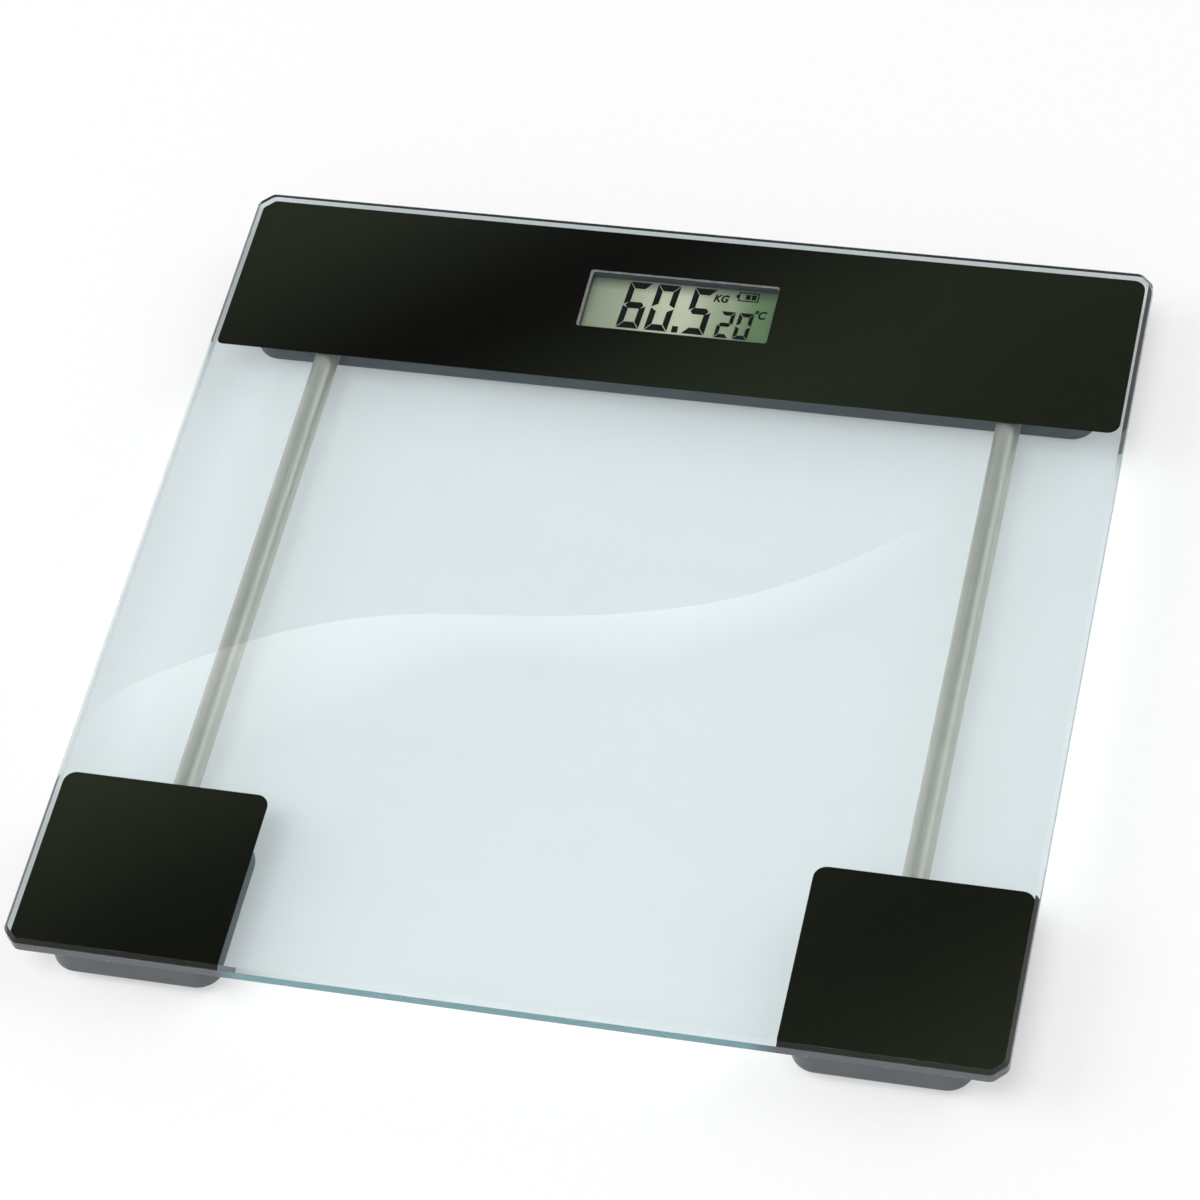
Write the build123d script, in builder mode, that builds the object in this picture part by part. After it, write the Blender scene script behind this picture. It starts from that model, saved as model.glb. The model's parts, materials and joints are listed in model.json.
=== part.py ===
from build123d import *
import os
from math import hypot, sqrt

# Digital bathroom scale: a square glass platform on four load cells, with the display at the back.
# Millimetres, +Z up, floor at Z 0, origin under the middle of the glass, display towards +Y.

# Glass platform
glass_width = 300.0
glass_depth = 300.0
glass_thickness = 6.0
glass_corner_cut = 4.2  # straight cut across each corner, along either edge
glass_corner_radius = 3.0  # rounding where the cut meets the edges
glass_arris = 1.2  # bevel ground along the upper and lower edges

# Black print under the glass, and the tape that bonds the housings to it
print_thickness = 0.2
print_margin = 1.4  # clear rim from the print to the edge of the glass
print_corner_radius = 4.0
rear_print_depth = 64.5  # edge of the glass to the inner edge of the print
front_print_width = 66.5
front_print_depth = 63.5
tape_thickness = 0.3
tape_inset = 1.5  # edge of a housing roof to its tape
tape_window_rim = 1.0  # edge of the display window to the tape

# Housings: a front one at each corner, and one along the back
foot_clearance = 3.5  # floor to the underside of the housings
wall = 2.0
roof_thickness = 2.0
cover_thickness = 2.0
cover_gap = 0.15  # bottom cover to the walls around it
housing_edge_gap = 2.5  # front or back edge of the glass to the housing
housing_side_gap = 11.0  # left or right edge of the glass to the housing
housing_corner_radius = 8.0
housing_bottom_fillet = 1.5
front_housing_width = 53.5
front_housing_depth = 50.5
rear_housing_depth = 57.0
notch_length = 5.0  # pry notch in the inner wall of a front housing
notch_height = 1.4
notch_offset = 3.75  # middle of the housing to the notch

# Screws
screw_radius = 1.1
screw_head_radius = 2.1
screw_head_height = 1.2
screw_head_chamfer = 0.3
screw_recess_length = 2.2
screw_recess_width = 0.6
screw_recess_depth = 0.7
screw_sink = 0.1  # head below the face that it is sunk into
screw_fit = 0.05  # shank to the pilot hole
screw_hole_gap = 0.25  # shank to the hole that it passes through
screw_head_gap = 0.2
cover_screw_grip = 6.0  # shank length inside a boss
board_screw_grip = 3.0
screw_inset = 4.0  # inner wall to the axis of a cover screw
boss_radius = 2.8

# Steel tubes
tube_diameter = 8.0
tube_wall = 0.8
tube_insertion = 7.0  # length inside each housing
tube_fit = 0.05
socket_wall = 1.8
socket_stop = 1.0  # shoulder that the end of a tube meets
socket_gap = 0.2  # underside of a socket to the bottom cover

# Load cells: stamped plates with a tongue inside a U-shaped slot
cell_depth = 34.0
cell_screw_gap = 2.65  # side of the plate to the cover screws beside it
cell_thickness = 2.0
cell_corner_radius = 3.0
cell_fit = 0.2
cell_ledge = 2.5  # rim of the plate that the housing carries
cell_rise = 2.0  # room above the plate for the tongue to bend into
nest_wall = 1.8
tongue_width = 15.0
tongue_length = 20.0
tongue_root = 9.0  # middle of the plate to the root of the tongue
tongue_tip_radius = 2.5
slot_width = 2.2
relief_radius = 1.7  # round ends of the slot
gauge_width = 9.0
gauge_length = 4.5
gauge_thickness = 0.7
gauge_recess = 0.3
gauge_corner_radius = 0.8
gauge_offset = 5.2  # middle of the plate to the strain gauge
post_radius = 1.5  # posts on the cover that hold the plate up
post_inset = 2.2

# Feet
foot_radius = 16.5
foot_gap = 0.5  # foot to the hole in the cover
foot_chamfer = 0.8
foot_floor = 1.4
foot_rim = 1.6
foot_flange_gap = 0.2  # flange to the cover below it
foot_flange_thickness = 1.2
foot_flange_margin = 0.6  # flange to the posts around it
foot_rib_count = 6
foot_rib_width = 1.4
stem_radius = 4.0
nipple_radius = 1.8  # tip that locates in the tongue
nipple_height = 1.2
nipple_fit = 0.2
pad_radius = 14.0
pad_thickness = 1.6
pad_recess = 0.6
pad_fit = 0.1
pad_chamfer = 0.4

# Display
window_width = 62.5
window_depth = 24.0
window_corner_radius = 1.0
lcd_overlap = 2.8  # rim of the display behind the edge of the window
lcd_front_glass = 1.4
lcd_back_glass = 1.4
lcd_ledge = 2.6  # front glass past the back glass, where the contacts are
strip_height = 3.0  # conductive rubber between the ledge and the board
strip_width = 1.8
strip_inset = 3.0  # ends of the strips to the ends of the display
frame_wall = 1.5
frame_gap = 0.2

# Circuit board
board_thickness = 1.6
board_wing = 12.0  # board beyond the display frame, left and right
board_margin = 5.5  # board beyond the display frame, front and back
board_corner_radius = 2.0
board_screw_inset = 4.0
board_boss_radius = 2.6
resin_radius = 6.0  # drop of resin over the controller
resin_height = 1.2
resin_edge_radius = 0.9
resin_x = 5.0
capacitor_length = 3.2
capacitor_width = 1.6
capacitor_height = 1.2
capacitor_x = 26.0
capacitor_pitch_x = 7.0
capacitor_pitch_y = 12.0
sensor_length = 4.0
sensor_width = 3.0
sensor_height = 1.0
sensor_corner_radius = 1.0
sensor_x = -12.0
sensor_offset = -14.0  # middle of the board to the temperature sensor

# Coin cell, its contacts and its pocket
battery_diameter = 20.0
battery_thickness = 3.2
battery_chamfer = 0.4
battery_cap_radius = 8.8
battery_cap_height = 0.35
contact_reach = 4.25  # edge of the board to the coin cell
contact_thickness = 0.3
contact_width = 4.0
contact_pad_length = 6.0
contact_offset = 5.0  # middle of the coin cell to the contact on its cap
contact_overlap = 9.0  # length of that contact over the cap
contact_drop = 0.8  # lower edge of the side contact above the coin cell's face
contact_stop_radius = 2.0
pocket_gap = 0.25
pocket_wall = 1.2
pocket_rise = 0.3  # pocket wall above the bottom cover
pocket_slot = 13.0
pocket_slot_offset = 2.5

# Battery door
door_side = 2.0  # coin cell to each side of the door
door_latch = 3.0  # pocket to the latch edge
door_thickness = 1.5
door_gap = 0.2
door_rib_height = 0.9
door_rib_width = 1.2
door_rib_length = 14.0
door_rib_pitch = 9.0
latch_width = 8.0
latch_length = 6.0
latch_slot = 1.0
grip_count = 3
grip_width = 0.8
grip_depth = 0.4
grip_pitch = 1.7
grip_inset = 1.0  # latch edge to the first groove
thumb_radius = 6.0
thumb_depth = 0.9
hinge_clearance = 0.5  # pocket to the hinge barrel
hinge_pin_radius = 0.9
hinge_pin_length = 1.6
hinge_fit = 0.05
hinge_boss_wall = 1.2

# Unit button and its switch
button_x = -30.0
button_radius = 4.3
button_gap = 0.25
button_proud = 0.3
button_edge = 0.5
button_dish = 0.3
button_recess = 1.0
button_flange_rim = 1.3
button_flange_thickness = 0.7
switch_size = 6.0
switch_height = 1.5
plunger_radius = 1.5
plunger_gap = 0.15
plunger_engagement = 1.0

# Heights, from the floor up: the coin cell, the board and the display set the depth of the housings
housing_bottom = foot_clearance
cover_top = housing_bottom + cover_thickness
door_top = housing_bottom + door_thickness
battery_bottom = door_top + door_rib_height
board_top = battery_bottom + battery_thickness
board_bottom = board_top - board_thickness
ledge_under = board_top + strip_height
roof_under = ledge_under + lcd_front_glass
housing_top = roof_under + roof_thickness
print_bottom = housing_top + tape_thickness
glass_bottom = print_bottom + print_thickness
lcd_back = ledge_under - lcd_back_glass
tube_z = (cover_top + housing_top) / 2
cell_top = roof_under - cell_rise
cell_bottom = cell_top - cell_thickness
foot_bottom = pad_thickness - pad_recess
flange_bottom = cover_top + foot_flange_gap
flange_top = flange_bottom + foot_flange_thickness
button_seat = cover_top - button_recess
button_top = button_seat + button_flange_thickness
switch_bottom = board_bottom - switch_height

# Places in plan
corner_x = glass_width / 2 - housing_side_gap - front_housing_width / 2
front_y = -(glass_depth / 2 - housing_edge_gap - front_housing_depth / 2)
rear_y = glass_depth / 2 - housing_edge_gap - rear_housing_depth / 2
rear_housing_width = 2 * corner_x + front_housing_width
lcd_width = window_width + 2 * lcd_overlap
lcd_depth = window_depth + 2 * lcd_overlap
frame_width = lcd_width + 2 * (frame_gap + frame_wall)
frame_depth = lcd_depth + 2 * (frame_gap + frame_wall)
board_width = frame_width + 2 * board_wing
board_depth = frame_depth + 2 * board_margin
board_screw_x = board_width / 2 - board_screw_inset
board_screw_y = board_depth / 2 - board_screw_inset
battery_radius = battery_diameter / 2
battery_x = board_width / 2 + contact_reach + battery_radius
pocket_radius = battery_radius + pocket_gap + pocket_wall
pilot_radius = screw_radius + screw_fit
screw_x = front_housing_width / 2 - wall - screw_inset
cell_width = 2 * (screw_x - screw_radius - cell_screw_gap)
post_x = cell_width / 2 - post_inset
post_y = cell_depth / 2 - post_inset
flange_radius = hypot(post_x, post_y) - post_radius - foot_flange_margin
door_width = battery_diameter + 2 * door_side
door_far_y = rear_y + pocket_radius + door_latch
hinge_y = rear_y - pocket_radius - hinge_clearance - door_thickness
hinge_z = door_top

# The plates of the front cells stand against the front walls, clear of the ends of the tubes
front_cell_y = front_y - front_housing_depth / 2 + wall + nest_wall + cell_fit + cell_depth / 2
corners = {
    "front_left": (-corner_x, front_cell_y),
    "front_right": (corner_x, front_cell_y),
    "rear_left": (-corner_x, rear_y),
    "rear_right": (corner_x, rear_y),
}
# Each housing: middle, width, depth, the corners that it carries, and the side that the tubes enter
housings = {
    "front_left": (-corner_x, front_y, front_housing_width, front_housing_depth, ["front_left"], 1),
    "front_right": (corner_x, front_y, front_housing_width, front_housing_depth, ["front_right"], 1),
    "rear": (0, rear_y, rear_housing_width, rear_housing_depth, ["rear_left", "rear_right"], -1),
}

os.makedirs("parts", exist_ok=True)


def save(piece, name):
    """Label a finished piece and write its STEP file."""
    piece.part.label = name
    export_step(piece.part, f"parts/{name}.step")


def upright(x, y):
    """Plane for a profile that is revolved about the vertical line at x, y."""
    return Plane((x, y, 0), x_dir=(1, 0, 0), z_dir=(0, -1, 0))


def vertical(x, y):
    """The vertical line at x, y."""
    return Axis((x, y, 0), (0, 0, 1))


def glass_outline(inset):
    """Outline of the glass with its cut corners, brought in by an inset."""
    with BuildSketch() as outline:
        Rectangle(glass_width - 2 * inset, glass_depth - 2 * inset)
        chamfer(outline.vertices(), glass_corner_cut - (2 - sqrt(2)) * inset)
        fillet(outline.vertices(), glass_corner_radius - inset)
    return outline.sketch


def cover_screw_points(name):
    """Axes of the screws that hold a housing's cover: four around each of its cells."""
    x, y, width, depth, carried, tube_side = housings[name]
    screw_y = depth / 2 - wall - screw_inset
    return [
        (corners[corner][0] + side_x * screw_x, y + side_y * screw_y)
        for corner in carried
        for side_x in (-1, 1)
        for side_y in (-1, 1)
    ]


def make_shell(name):
    """Roof and walls of a housing, open below, with cell nests, screw bosses and tube sockets."""
    x, y, width, depth, carried, tube_side = housings[name]
    cells = [corners[corner] for corner in carried]
    tube_face = y + tube_side * depth / 2
    socket_length = tube_insertion + socket_stop
    with BuildPart() as shell:
        with BuildSketch(Plane((x, y, housing_bottom))):
            RectangleRounded(width, depth, housing_corner_radius)
        extrude(amount=housing_top - housing_bottom)
        fillet(shell.faces().sort_by(Axis.Z)[0].edges(), housing_bottom_fillet)
        with BuildSketch(Plane((x, y, housing_bottom))):
            RectangleRounded(width - 2 * wall, depth - 2 * wall, housing_corner_radius - wall)
        extrude(amount=roof_under - housing_bottom, mode=Mode.SUBTRACT)

        # Walls that nest the plate of each cell
        nest = cell_fit + nest_wall
        with BuildSketch(Plane.XY.offset(cell_bottom)):
            with Locations(*cells):
                Rectangle(cell_width + 2 * nest, cell_depth + 2 * nest)
        extrude(amount=roof_under - cell_bottom)
        # Bosses for the cover screws
        with BuildSketch(Plane.XY.offset(cover_top)):
            with Locations(*cover_screw_points(name)):
                Circle(boss_radius)
        extrude(amount=roof_under - cover_top)
        # Blocks that hold the ends of the tubes
        with BuildSketch(Plane((0, tube_face, cover_top + socket_gap))):
            with Locations(*[(cell_x, -tube_side * (wall + socket_length) / 2) for cell_x, cell_y in cells]):
                Rectangle(tube_diameter + 2 * socket_wall, socket_length - wall)
        extrude(amount=roof_under - cover_top - socket_gap)

        # Seats of the cells: the plate below a ledge, and the room above its tongue
        with BuildSketch(Plane.XY.offset(housing_bottom)):
            with Locations(*cells):
                RectangleRounded(
                    cell_width + 2 * cell_fit, cell_depth + 2 * cell_fit, cell_corner_radius + cell_fit
                )
        extrude(amount=cell_top - housing_bottom, mode=Mode.SUBTRACT)
        with BuildSketch(Plane.XY.offset(cell_top)):
            with Locations(*cells):
                RectangleRounded(
                    cell_width - 2 * cell_ledge, cell_depth - 2 * cell_ledge, cell_corner_radius
                )
        extrude(amount=cell_rise, mode=Mode.SUBTRACT)
        # Pilot holes for the screws
        with BuildSketch(Plane.XY.offset(cover_top)):
            with Locations(*cover_screw_points(name)):
                Circle(pilot_radius)
        extrude(amount=cover_screw_grip, mode=Mode.SUBTRACT)
        # Bores for the tubes, with a narrower way on for the wires
        for cell_x, cell_y in cells:
            with BuildSketch(Plane((cell_x, tube_face, tube_z), z_dir=(0, -tube_side, 0))):
                Circle(tube_diameter / 2 + tube_fit)
            extrude(amount=tube_insertion, mode=Mode.SUBTRACT)
            with BuildSketch(Plane((cell_x, tube_face, tube_z), z_dir=(0, -tube_side, 0))):
                Circle(tube_diameter / 2 - tube_wall)
            extrude(amount=abs(tube_face - cell_y) - cell_depth / 2, mode=Mode.SUBTRACT)
    return shell.part


def make_cover(name):
    """Flat bottom cover inside the walls of a housing, with the posts that hold its cells up."""
    x, y, width, depth, carried, tube_side = housings[name]
    rim = wall + cover_gap
    with BuildPart() as cover:
        with BuildSketch(Plane((x, y, housing_bottom))):
            RectangleRounded(width - 2 * rim, depth - 2 * rim, housing_corner_radius - rim)
        extrude(amount=cover_thickness)
        for corner in carried:
            with BuildSketch(Plane((*corners[corner], housing_bottom))):
                Circle(foot_radius + foot_gap)
            extrude(amount=cover_thickness, mode=Mode.SUBTRACT)
            with BuildSketch(Plane((*corners[corner], cover_top))):
                with GridLocations(2 * post_x, 2 * post_y, 2, 2):
                    Circle(post_radius)
            extrude(amount=cell_bottom - cover_top)
        undersides = [
            Plane((*point, housing_bottom), z_dir=(0, 0, -1)) for point in cover_screw_points(name)
        ]
        with Locations(*undersides):
            CounterBoreHole(
                radius=screw_radius + screw_hole_gap,
                counter_bore_radius=screw_head_radius + screw_head_gap,
                counter_bore_depth=screw_head_height + screw_sink,
                depth=cover_thickness,
            )
    return cover.part


def make_screws(points, seat, length):
    """Cross-recessed screws driven upwards, with the undersides of their heads at height seat."""
    head_face = seat - screw_head_height
    with BuildPart() as screws:
        with BuildSketch(Plane.XY.offset(head_face)):
            with Locations(*points):
                Circle(screw_head_radius)
        extrude(amount=screw_head_height)
        chamfer(screws.faces().group_by(Axis.Z)[0].edges(), screw_head_chamfer)
        with BuildSketch(Plane.XY.offset(head_face)):
            with Locations(*points):
                Rectangle(screw_recess_length, screw_recess_width)
                Rectangle(screw_recess_width, screw_recess_length)
        extrude(amount=screw_recess_depth, mode=Mode.SUBTRACT)
        with BuildSketch(Plane.XY.offset(seat)):
            with Locations(*points):
                Circle(screw_radius)
        extrude(amount=length)
    return screws


# Glass platform with ground edges
with BuildPart() as glass_platform:
    with BuildSketch(Plane.XY.offset(glass_bottom)):
        add(glass_outline(0))
    extrude(amount=glass_thickness)
    flat_faces = glass_platform.faces().filter_by(Axis.Z)
    chamfer(flat_faces.edges(), glass_arris)
save(glass_platform, "glass_platform")

# Black print: a band along the back, with the display window, and a square at each front corner.
# It follows the rim of the glass, and its corners away from the front and back edges are rounded.
with BuildPart() as rear_print:
    with BuildSketch(Plane.XY.offset(print_bottom)):
        add(glass_outline(print_margin))
        band_width = glass_width - 2 * print_margin
        with Locations((0, glass_depth / 2)):
            RectangleRounded(band_width, 2 * rear_print_depth, print_corner_radius, mode=Mode.INTERSECT)
        with Locations((0, rear_y)):
            RectangleRounded(window_width, window_depth, window_corner_radius, mode=Mode.SUBTRACT)
    extrude(amount=print_thickness)
save(rear_print, "rear_print")

for side, name in ((-1, "front_left"), (1, "front_right")):
    with BuildPart() as front_print:
        with BuildSketch(Plane.XY.offset(print_bottom)):
            add(glass_outline(print_margin))
            square_width = front_print_width - print_margin
            square_x = side * (glass_width / 2 - front_print_width + square_width / 2)
            with Locations((square_x, -glass_depth / 2)):
                RectangleRounded(
                    square_width, 2 * front_print_depth, print_corner_radius, mode=Mode.INTERSECT
                )
        extrude(amount=print_thickness)
    save(front_print, f"{name}_print")

# Bonding tape on the roof of each housing
for name, (x, y, width, depth, carried, tube_side) in housings.items():
    with BuildPart() as tape:
        with BuildSketch(Plane((x, y, housing_top))):
            RectangleRounded(
                width - 2 * tape_inset, depth - 2 * tape_inset, housing_corner_radius - tape_inset
            )
        extrude(amount=tape_thickness)
        if name == "rear":
            with BuildSketch(Plane((x, y, housing_top))):
                Rectangle(window_width + 2 * tape_window_rim, window_depth + 2 * tape_window_rim)
            extrude(amount=tape_thickness, mode=Mode.SUBTRACT)
    save(tape, f"{name}_tape")

# Front housings, each with a pry notch in the wall that faces the middle
for side, name in ((-1, "front_left"), (1, "front_right")):
    with BuildPart() as front_housing:
        add(make_shell(name))
        inner_face = side * (corner_x - front_housing_width / 2)
        with BuildSketch(Plane((inner_face, front_y + notch_offset, housing_bottom))):
            Rectangle(2 * wall, notch_length)
        extrude(amount=notch_height, mode=Mode.SUBTRACT)
    save(front_housing, f"{name}_housing")

# Rear housing, with the display window, the bosses of the board and the pocket of the coin cell
with BuildPart() as rear_housing:
    add(make_shell("rear"))
    with BuildSketch(Plane((0, rear_y, roof_under))):
        RectangleRounded(window_width, window_depth, window_corner_radius)
    extrude(amount=roof_thickness, mode=Mode.SUBTRACT)
    with BuildSketch(Plane((0, rear_y, board_top))):
        with GridLocations(2 * board_screw_x, 2 * board_screw_y, 2, 2):
            Circle(board_boss_radius)
            Circle(pilot_radius, mode=Mode.SUBTRACT)
    extrude(amount=roof_under - board_top)
    pocket_bottom = cover_top + pocket_rise
    with BuildSketch(Plane((battery_x, rear_y, pocket_bottom))):
        Circle(pocket_radius)
        Circle(battery_radius + pocket_gap, mode=Mode.SUBTRACT)
        with Locations((-pocket_radius, pocket_slot_offset)):
            Rectangle(pocket_radius, pocket_slot, mode=Mode.SUBTRACT)
    extrude(amount=roof_under - pocket_bottom)
    with BuildSketch(Plane((battery_x, rear_y + contact_offset, board_top + contact_thickness))):
        Circle(contact_stop_radius)
    extrude(amount=roof_under - board_top - contact_thickness)
save(rear_housing, "rear_housing")

# Bottom covers of the front housings
for name in ("front_left", "front_right"):
    with BuildPart() as front_cover:
        add(make_cover(name))
    save(front_cover, f"{name}_cover")

# Bottom cover of the rear housing, with the battery door's opening and hinge, and the button's hole
with BuildPart() as rear_cover:
    add(make_cover("rear"))
    opening_width = door_width + 2 * door_gap
    opening_front = hinge_y - door_thickness - door_gap
    opening_back = door_far_y + door_gap
    with BuildSketch(Plane((battery_x, opening_front, housing_bottom))):
        Rectangle(opening_width, opening_back - opening_front, align=(Align.CENTER, Align.MIN))
    extrude(amount=cover_thickness, mode=Mode.SUBTRACT)
    boss_half = hinge_pin_radius + hinge_fit + hinge_boss_wall
    boss_length = hinge_pin_length + hinge_boss_wall
    with BuildSketch(Plane((battery_x, hinge_y, housing_bottom))):
        with GridLocations(opening_width + boss_length, 0, 2, 1):
            Rectangle(boss_length, 2 * boss_half)
    extrude(amount=hinge_z + boss_half - housing_bottom)
    pin_reach = door_width / 2 + hinge_pin_length + hinge_fit
    with BuildSketch(Plane((battery_x - pin_reach, hinge_y, hinge_z), z_dir=(1, 0, 0))):
        Circle(hinge_pin_radius + hinge_fit)
    extrude(amount=2 * pin_reach, mode=Mode.SUBTRACT)
    with BuildSketch(Plane((battery_x, opening_back, housing_bottom))):
        Circle(thumb_radius)
    extrude(amount=thumb_depth, mode=Mode.SUBTRACT)
    with Locations(Plane((button_x, rear_y, cover_top))):
        CounterBoreHole(
            radius=button_radius + button_gap,
            counter_bore_radius=button_radius + button_flange_rim + button_gap,
            counter_bore_depth=button_recess,
            depth=cover_thickness,
        )
save(rear_cover, "rear_cover")

# Screws of the three covers
for name in housings:
    cover_screws = make_screws(
        cover_screw_points(name),
        seat=housing_bottom + screw_head_height + screw_sink,
        length=cover_thickness - screw_head_height - screw_sink + cover_screw_grip,
    )
    save(cover_screws, f"{name}_cover_screws")

# Steel tubes from the front housings to the rear housing
tube_front = front_y + front_housing_depth / 2 - tube_insertion
tube_back = rear_y - rear_housing_depth / 2 + tube_insertion
for side, name in ((-1, "left_tube"), (1, "right_tube")):
    with BuildPart() as tube:
        with BuildSketch(Plane((side * corner_x, tube_front, tube_z), z_dir=(0, 1, 0))):
            Circle(tube_diameter / 2)
            Circle(tube_diameter / 2 - tube_wall, mode=Mode.SUBTRACT)
        extrude(amount=tube_back - tube_front)
    save(tube, name)

# Load cells, with the strain gauge near the root of each tongue
for name, (x, y) in corners.items():
    with BuildPart() as cell:
        with BuildSketch(Plane((x, y, cell_bottom))) as cell_outline:
            RectangleRounded(cell_width, cell_depth, cell_corner_radius)
            with Locations((0, tongue_root)):
                Rectangle(
                    tongue_width + 2 * slot_width,
                    tongue_length + slot_width,
                    align=(Align.CENTER, Align.MAX),
                    mode=Mode.SUBTRACT,
                )
                Rectangle(tongue_width, tongue_length, align=(Align.CENTER, Align.MAX))
            tip_y = tongue_root - tongue_length
            tip_window = slot_width / 4
            tip = cell_outline.vertices().filter_by_position(Axis.Y, tip_y - tip_window, tip_y + tip_window)
            fillet(tip, tongue_tip_radius)
            with GridLocations(tongue_width + slot_width, 0, 2, 1):
                with Locations((0, tongue_root)):
                    Circle(relief_radius, mode=Mode.SUBTRACT)
            Circle(nipple_radius + nipple_fit, mode=Mode.SUBTRACT)
        extrude(amount=cell_thickness)
        with BuildSketch(Plane((x, y + gauge_offset, cell_top))):
            Rectangle(tongue_width, gauge_length)
        extrude(amount=-gauge_recess, mode=Mode.SUBTRACT)
    save(cell, f"{name}_load_cell")

with BuildPart() as strain_gauges:
    with BuildSketch(Plane.XY.offset(cell_top - gauge_recess)):
        with Locations(*[(x, y + gauge_offset) for x, y in corners.values()]):
            RectangleRounded(gauge_width, gauge_length, gauge_corner_radius)
    extrude(amount=gauge_thickness)
save(strain_gauges, "strain_gauges")

# Feet: a ribbed cup that hangs on its flange in the cover, with a stem that presses on the tongue
rib_inner = stem_radius / 2
rib_outer = foot_radius - foot_rim / 2
foot_well = pad_thickness + foot_floor
for name, (x, y) in corners.items():
    with BuildPart() as foot:
        with BuildSketch(upright(x, y)):
            with BuildLine():
                Polyline(
                    (0, pad_thickness),
                    (pad_radius + pad_fit, pad_thickness),
                    (pad_radius + pad_fit, foot_bottom),
                    (foot_radius - foot_chamfer, foot_bottom),
                    (foot_radius, foot_bottom + foot_chamfer),
                    (foot_radius, flange_bottom),
                    (flange_radius, flange_bottom),
                    (flange_radius, flange_top),
                    (foot_radius - foot_rim, flange_top),
                    (foot_radius - foot_rim, foot_well),
                    (stem_radius, foot_well),
                    (stem_radius, cell_bottom),
                    (nipple_radius, cell_bottom),
                    (nipple_radius, cell_bottom + nipple_height),
                    (0, cell_bottom + nipple_height),
                    close=True,
                )
            make_face()
        revolve(axis=vertical(x, y))
        with BuildSketch(Plane((x, y, foot_well))):
            with PolarLocations((rib_inner + rib_outer) / 2, foot_rib_count):
                Rectangle(rib_outer - rib_inner, foot_rib_width)
        extrude(amount=flange_top - foot_well)
    save(foot, f"{name}_foot")

    with BuildPart() as pad:
        with BuildSketch(Plane((x, y, 0))):
            Circle(pad_radius)
        extrude(amount=pad_thickness)
        chamfer(pad.edges().sort_by(Axis.Z)[0], pad_chamfer)
    save(pad, f"{name}_pad")

# Display: the front glass overhangs the back glass on a contact ledge at the front and back edges
with BuildPart() as lcd_panel:
    with BuildSketch(Plane((0, rear_y, ledge_under))):
        Rectangle(lcd_width, lcd_depth)
    extrude(amount=lcd_front_glass)
    with BuildSketch(Plane((0, rear_y, lcd_back))):
        Rectangle(lcd_width, lcd_depth - 2 * lcd_ledge)
    extrude(amount=lcd_back_glass)
save(lcd_panel, "lcd_panel")

with BuildPart() as lcd_frame:
    with BuildSketch(Plane((0, rear_y, board_top))):
        Rectangle(frame_width, frame_depth)
        Rectangle(lcd_width + 2 * frame_gap, lcd_depth + 2 * frame_gap, mode=Mode.SUBTRACT)
    extrude(amount=roof_under - board_top)
save(lcd_frame, "lcd_frame")

with BuildPart() as contact_strips:
    with BuildSketch(Plane((0, rear_y, board_top))):
        with GridLocations(0, lcd_depth - lcd_ledge, 1, 2):
            Rectangle(lcd_width - 2 * strip_inset, strip_width)
    extrude(amount=strip_height)
save(contact_strips, "contact_strips")

# Circuit board with its screws and parts
with BuildPart() as main_board:
    with BuildSketch(Plane((0, rear_y, board_bottom))):
        RectangleRounded(board_width, board_depth, board_corner_radius)
        with GridLocations(2 * board_screw_x, 2 * board_screw_y, 2, 2):
            Circle(screw_radius + screw_hole_gap, mode=Mode.SUBTRACT)
    extrude(amount=board_thickness)
save(main_board, "main_board")

board_screw_points = [
    (side_x * board_screw_x, rear_y + side_y * board_screw_y) for side_x in (-1, 1) for side_y in (-1, 1)
]
board_screws = make_screws(
    board_screw_points, seat=board_bottom, length=board_thickness + board_screw_grip
)
save(board_screws, "board_screws")

with BuildPart() as controller_resin:
    with BuildSketch(Plane((resin_x, rear_y, board_bottom))):
        Circle(resin_radius)
    extrude(amount=-resin_height)
    fillet(controller_resin.edges().sort_by(Axis.Z)[0], resin_edge_radius)
save(controller_resin, "controller_resin")

with BuildPart() as capacitors:
    with BuildSketch(Plane((capacitor_x, rear_y, board_bottom))):
        with GridLocations(capacitor_pitch_x, capacitor_pitch_y, 2, 2):
            Rectangle(capacitor_width, capacitor_length)
    extrude(amount=-capacitor_height)
save(capacitors, "capacitors")

with BuildPart() as temperature_sensor:
    with BuildSketch(Plane((sensor_x, rear_y + sensor_offset, board_bottom))):
        RectangleRounded(sensor_length, sensor_width, sensor_corner_radius)
    extrude(amount=-sensor_height)
save(temperature_sensor, "temperature_sensor")

# Coin cell, with its smaller cap upwards
with BuildPart() as coin_cell:
    with BuildSketch(Plane((battery_x, rear_y, battery_bottom))):
        Circle(battery_radius)
    extrude(amount=battery_thickness - battery_cap_height)
    chamfer(coin_cell.edges().filter_by(GeomType.CIRCLE), battery_chamfer)
    with BuildSketch(Plane((battery_x, rear_y, board_top))):
        Circle(battery_cap_radius)
    extrude(amount=-battery_cap_height)
save(coin_cell, "coin_cell")

# Contacts from the board: one flat on the cap, one bent down beside the can
pad_x = board_width / 2 - contact_pad_length
with BuildPart() as cap_contact:
    with BuildSketch(Plane((pad_x, rear_y + contact_offset, board_top))):
        cap_contact_length = contact_pad_length + contact_reach + contact_overlap
        Rectangle(cap_contact_length + contact_stop_radius, contact_width, align=(Align.MIN, Align.CENTER))
    extrude(amount=contact_thickness)
save(cap_contact, "cap_contact")

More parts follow.
